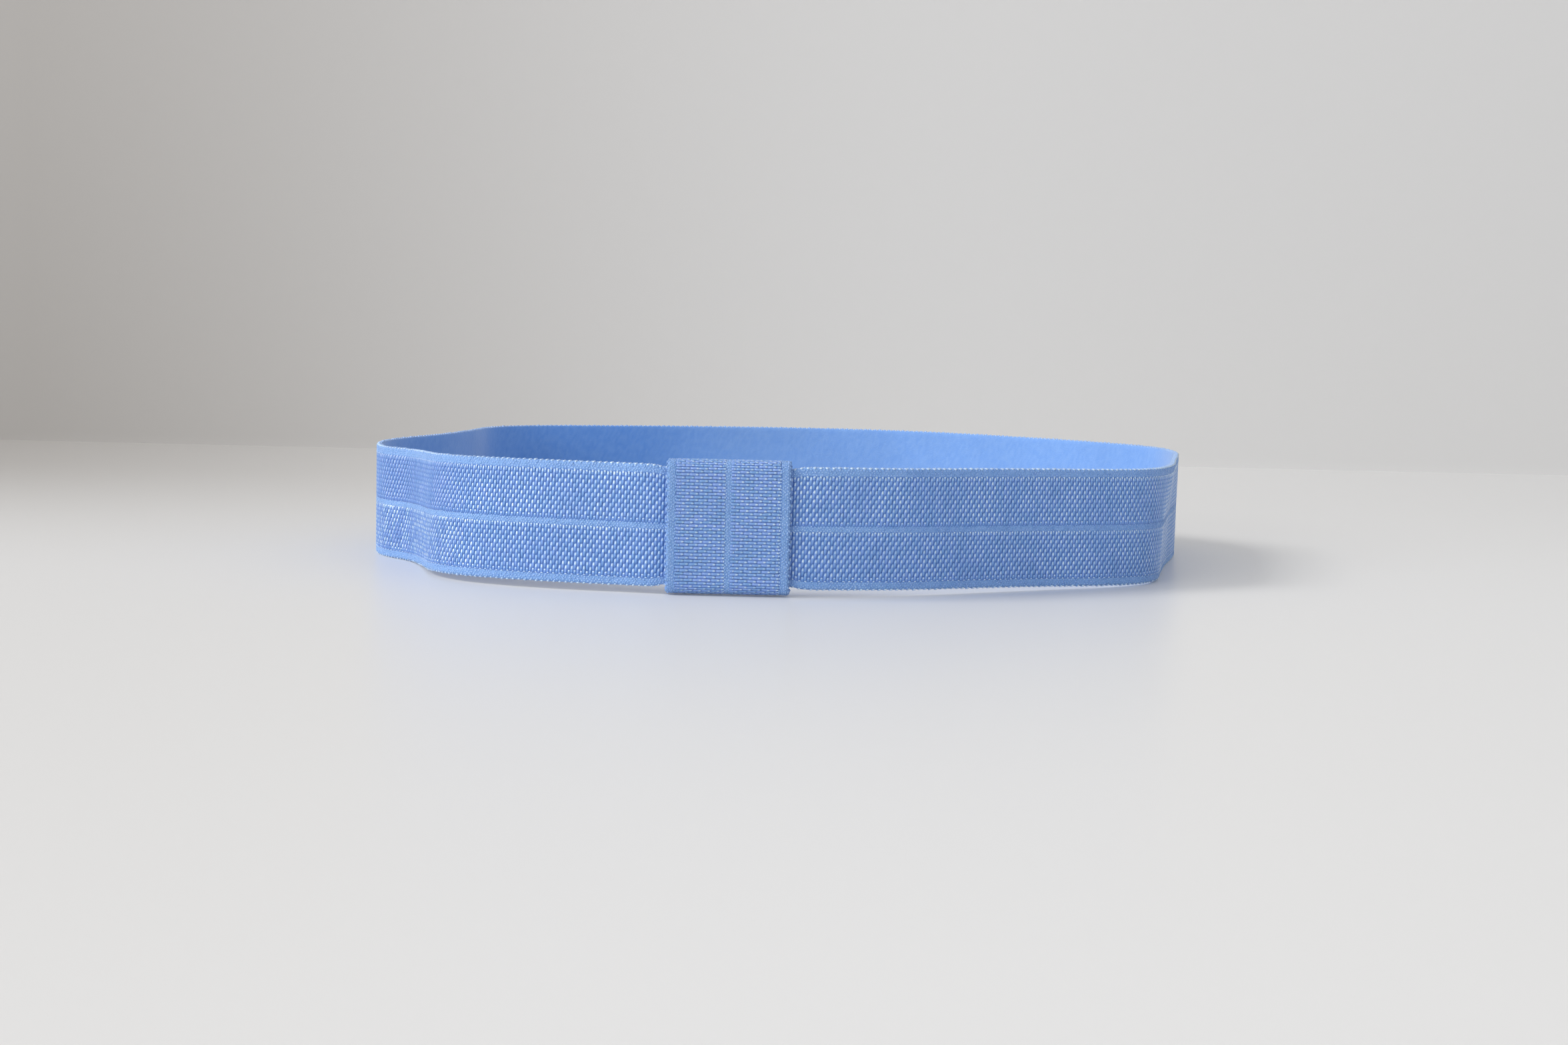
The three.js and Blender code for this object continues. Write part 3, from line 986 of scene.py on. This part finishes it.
class HEADBAND_OT_band(bpy.types.Operator):
    """Weaves the band: its ground cloth, two satin panels, and the loops of its plain strips"""

    bl_idname = "headband.weave_band"
    bl_label = "Weave the band"

    def execute(self, context):
        elastic = context.scene.headband_elastic
        colours = context.scene.headband_colours
        rng = np.random.default_rng(elastic.seed)
        carrier = band_carrier(elastic.width)
        columns = even_columns(carrier, elastic)
        fold, edge = panel_edges(elastic, over_fold=0.05 * MM, over_selvedge=0.02 * MM)
        cloth = weave_cloth("band_cloth", carrier, elastic, columns, rng)
        dress(cloth, *cloth_finishes(colours))
        # Over the left end the lower panel gets painted highlight on a chance share of its floats
        # and painted shade on the rest, and the upper panel gets painted shade.
        lower = weave_panel(
            "band_lower_panel", carrier, elastic, columns, -edge, -fold, rng,
            slant=3.0, sway=5.0, painted_light=1.8, painted_light_share=0.45,
        )
        upper = weave_panel(
            "band_upper_panel", carrier, elastic, columns, fold, edge, rng,
            slant=3.0, sway=5.0, painted_light=-0.7,
        )
        rows = selvedge_rows(elastic)
        # Over the right front the plain strips get painted shade.
        selvedges = weave_specks("band_selvedges", carrier, rows, columns, rng, painted_shade_depth=0.6)
        rows = fold_rows(elastic)
        line = weave_specks("band_fold_line", carrier, rows, columns, rng, painted_shade_depth=0.9)
        picots = weave_picots("band_picots", carrier, elastic, columns, rng)
        for piece in (lower, upper):
            dress(piece, satin_finish(colours))
        for piece in (selvedges, line):
            dress(piece, edging_finish(colours))
        dress(picots, picot_finish(colours))
        for piece in (cloth, lower, upper, selvedges, line, picots):
            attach(piece, "root")
            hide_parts("elastic_band")
        return {"FINISHED"}


class HEADBAND_OT_keeper(bpy.types.Operator):
    """Weaves the keeper: a short loop of the same elastic round the band's front"""

    bl_idname = "headband.weave_keeper"
    bl_label = "Weave the keeper"

    def execute(self, context):
        elastic = context.scene.headband_elastic
        colours = context.scene.headband_colours
        rng = np.random.default_rng(elastic.seed + 1)
        carrier = keeper_carrier(elastic.width)
        columns = even_columns(carrier, elastic)
        fold, edge = panel_edges(elastic, over_fold=0.08 * MM, over_selvedge=-0.1 * MM)
        cloth = weave_cloth("keeper_cloth", carrier, elastic, 2 * columns, rng)
        dress(cloth, *cloth_finishes(colours, "Keeper edging ground", KEEPER_SHADE))
        left = weave_panel(
            "keeper_left_panel", carrier, elastic, columns, -edge, -fold, rng, proud=1.1
        )
        right = weave_panel(
            "keeper_right_panel", carrier, elastic, columns, fold, edge, rng, proud=1.1
        )
        rows = selvedge_rows(elastic, insets=(0.32, 0.6, 0.88, 1.16))
        selvedges = weave_specks("keeper_selvedges", carrier, rows, columns, rng)
        line = weave_specks("keeper_fold_line", carrier, fold_rows(elastic), columns, rng)
        picots = weave_picots("keeper_picots", carrier, elastic, columns, rng, loose=3.0)
        stitches = sew_lap("keeper_stitches", carrier, elastic, rng)
        for piece in (left, right):
            dress(piece, keeper_satin_finish(colours))
        for piece in (selvedges, line, picots):
            dress(piece, edging_finish(colours, "Keeper edging yarn", KEEPER_SHADE))
        dress(stitches, picot_finish(colours))
        for piece in (cloth, left, right, selvedges, line, picots, stitches):
            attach(piece, "root")
            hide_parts("keeper_loop")
        return {"FINISHED"}


# The camera's place across, its sensor in millimetres as Blender counts it, and its near limit.
CAMERA_ACROSS = -0.334 * MM
SENSOR_WIDTH = 36
NEAREST_SEEN = 0.01

# The sweep's reach to each side and to the front, its top, and its lines across.
SWEEP_REACH, SWEEP_TOP, SWEEP_LINES = 1.2, 0.9, 9

# Where painted shade darkens the sweep: each axis with its ramp's start and end, what is added to
# the first ramp and multiplies the third, and the painted shade colour made from the floor's
# colour.
PAINTED_SHADE_RAMPS = (("X", 0.06, -0.28), ("Y", -0.06, 0.16), ("Z", -0.001, 0.003))
PAINTED_SHADE_EVERYWHERE, WALL_PAINTED_SHADE = 0.14, 0.06
PAINTED_SHADE_COLOUR = np.array([0.54, 0.52, 0.5])

WINDOW_TINT = (1.0, 0.985, 0.96)
ROOM_TINT = (0.98, 0.985, 1.0, 1)


def pose_of(right, up, ahead, place):
    """The pose of a camera or lamp: its own directions as columns, looking backwards along Z."""
    pose = np.eye(4)
    pose[:3] = np.column_stack([right, up, -ahead, place])
    return Matrix(pose.tolist())


def set_camera(scene, studio):
    """The camera before the keeper, turned down by the pitch and round its axis by the roll."""
    lens = bpy.data.cameras.new("camera")
    lens.sensor_width = SENSOR_WIDTH
    lens.lens = studio.lens
    lens.clip_start = NEAREST_SEEN
    camera = bpy.data.objects.new("camera", lens)
    scene.collection.objects.link(camera)
    pitch, roll = studio.pitch, studio.roll
    ahead = np.array([0, np.cos(pitch), -np.sin(pitch)])
    level = np.array([1.0, 0, 0])
    above = np.cross(level, ahead)
    right = level * np.cos(roll) + above * np.sin(roll)
    up = above * np.cos(roll) - level * np.sin(roll)
    place = np.array([CAMERA_ACROSS, KEEPER_BOX[0][1] - studio.distance, studio.height])
    camera.matrix_world = pose_of(right, up, ahead, place)
    scene.camera = camera


def lay_sweep(wall):
    """The floor and the wall in one mesh: a profile of three points, repeated at lines across.

    Its faces are those of a closed grid without the ones that would close it.
    """
    across = np.linspace(-SWEEP_REACH, SWEEP_REACH, SWEEP_LINES)
    x, y = np.meshgrid(across, [-SWEEP_REACH, wall, wall], indexing="ij")
    z = np.tile([0, 0, SWEEP_TOP], (SWEEP_LINES, 1))
    faces = ring_grid(*x.shape).reshape(*x.shape, 4)[:-1, :-1].reshape(-1, 4)
    return put_mesh("floor_sweep", np.stack([x, y, z], -1), faces, smooth=False)


def sweep_finish(floor):
    """A pale sweep with painted shade towards its left and back, and seen from its front alone.

    Smooth ramps on the object's own coordinates give shares across, back and up the wall. The
    painted shade is the first plus a little, times the second, plus a little of the third, and it
    mixes the floor's colour towards its painted shade colour. From behind, the sweep is clear and
    hides nothing.
    """
    finish = bpy.data.materials.new("Pale sweep")
    finish.use_nodes = True
    tree = finish.node_tree
    shader = tree.nodes["Principled BSDF"]
    place = node(tree, "ShaderNodeTexCoord").outputs["Object"]
    parts = node(tree, "ShaderNodeSeparateXYZ", {0: place})
    across, back, up_wall = (
        node(
            tree,
            "ShaderNodeMapRange",
            {"Value": parts.outputs[axis], "From Min": start, "From Max": end},
            interpolation_type="SMOOTHSTEP",
        ).outputs["Result"]
        for axis, start, end in PAINTED_SHADE_RAMPS
    )
    # Painted shade: darker towards the left, the back and up the wall.
    painted_shade = worked(tree, "MULTIPLY", worked(tree, "ADD", across, PAINTED_SHADE_EVERYWHERE), back)
    painted_shade = worked(tree, "MULTIPLY_ADD", up_wall, WALL_PAINTED_SHADE, painted_shade)
    tone = blended(tree, painted_shade, paint(floor), paint(floor * PAINTED_SHADE_COLOUR))
    for socket, value in (("Base Color", tone), ("Roughness", 0.34), ("Specular IOR Level", 0.35)):
        feed(tree, shader.inputs[socket], value)
    behind = node(tree, "ShaderNodeNewGeometry").outputs["Backfacing"]
    clear = node(tree, "ShaderNodeBsdfTransparent").outputs["BSDF"]
    inputs = {"Fac": behind, 1: shader.outputs["BSDF"], 2: clear}
    face = node(tree, "ShaderNodeMixShader", inputs)
    feed(tree, tree.nodes["Material Output"].inputs["Surface"], face.outputs["Shader"])
    return finish


def hang_light(scene, name, power, size, spot):
    """A window light: a rectangle at a spot, aimed at the origin and level sideways."""
    light = bpy.data.lights.new(name, "AREA")
    light.shape = "RECTANGLE"
    light.size, light.size_y = size
    light.energy = power
    light.color = WINDOW_TINT
    lamp = bpy.data.objects.new(name, light)
    scene.collection.objects.link(lamp)
    spot = np.array(spot)
    aim = -spot / np.linalg.norm(spot)
    side = np.cross(aim, [0, 0, 1])
    side /= np.linalg.norm(side)
    lamp.matrix_world = pose_of(side, np.cross(side, aim), aim, spot)


def fill_room(scene, strength):
    """The room's even light, and a view that shows colours as they are."""
    world = bpy.data.worlds.new("room")
    world.use_nodes = True
    sky = world.node_tree.nodes["Background"]
    sky.inputs["Color"].default_value = ROOM_TINT
    sky.inputs["Strength"].default_value = strength
    scene.world = world
    scene.view_settings.view_transform = "Standard"


class HEADBAND_OT_stage(bpy.types.Operator):
    """Sets the camera, a pale floor and wall, and soft window light"""

    bl_idname = "headband.set_stage"
    bl_label = "Set the stage"

    def execute(self, context):
        scene = context.scene
        studio = scene.headband_studio
        set_camera(scene, studio)
        sweep = lay_sweep(studio.wall)
        dress(sweep, sweep_finish(np.array(scene.headband_colours.floor)))
        for name, power, size, spot in (
            ("window", studio.window, (0.8, 0.8), (-1.6, -0.2, 1.4)),
            ("window_sill", studio.sill, (1.2, 0.5), (-1.2, -1.3, 0.45)),
        ):
            hang_light(scene, name, power, size, spot)
        fill_room(scene, studio.sky)
        return {"FINISHED"}


class HEADBAND_PT_panel(bpy.types.Panel):
    """Lists the sizes, the colours and the steps of the headband"""

    bl_label = "Headband"
    bl_idname = "HEADBAND_PT_panel"
    bl_space_type = "VIEW_3D"
    bl_region_type = "UI"
    bl_category = "Headband"

    def draw(self, context):
        for name in ("headband_elastic", "headband_colours", "headband_studio"):
            group = getattr(context.scene, name)
            box = self.layout.box()
            for key in group.bl_rna.properties.keys():
                if key not in ("rna_type", "name"):
                    box.prop(group, key)
        for operator in OPERATORS:
            self.layout.operator(operator.bl_idname)


OPERATORS = (HEADBAND_OT_stage, HEADBAND_OT_band, HEADBAND_OT_keeper)
GROUPS = (
    ("headband_elastic", HeadbandElastic),
    ("headband_colours", HeadbandColours),
    ("headband_studio", HeadbandStudio),
)


def register():
    """Makes the groups, the operators and the panel known."""
    for name, group in GROUPS:
        bpy.utils.register_class(group)
        setattr(bpy.types.Scene, name, PointerProperty(type=group))
    for operator in OPERATORS:
        bpy.utils.register_class(operator)
    bpy.utils.register_class(HEADBAND_PT_panel)


def unregister():
    """Takes them back in reverse."""
    bpy.utils.unregister_class(HEADBAND_PT_panel)
    for operator in reversed(OPERATORS):
        bpy.utils.unregister_class(operator)
    for name, group in reversed(GROUPS):
        delattr(bpy.types.Scene, name)
        bpy.utils.unregister_class(group)


def main():
    """Sets the stage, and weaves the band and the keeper."""
    register()
    bpy.ops.headband.set_stage()
    bpy.ops.headband.weave_band()
    bpy.ops.headband.weave_keeper()


if __name__ == "__main__":
    main()
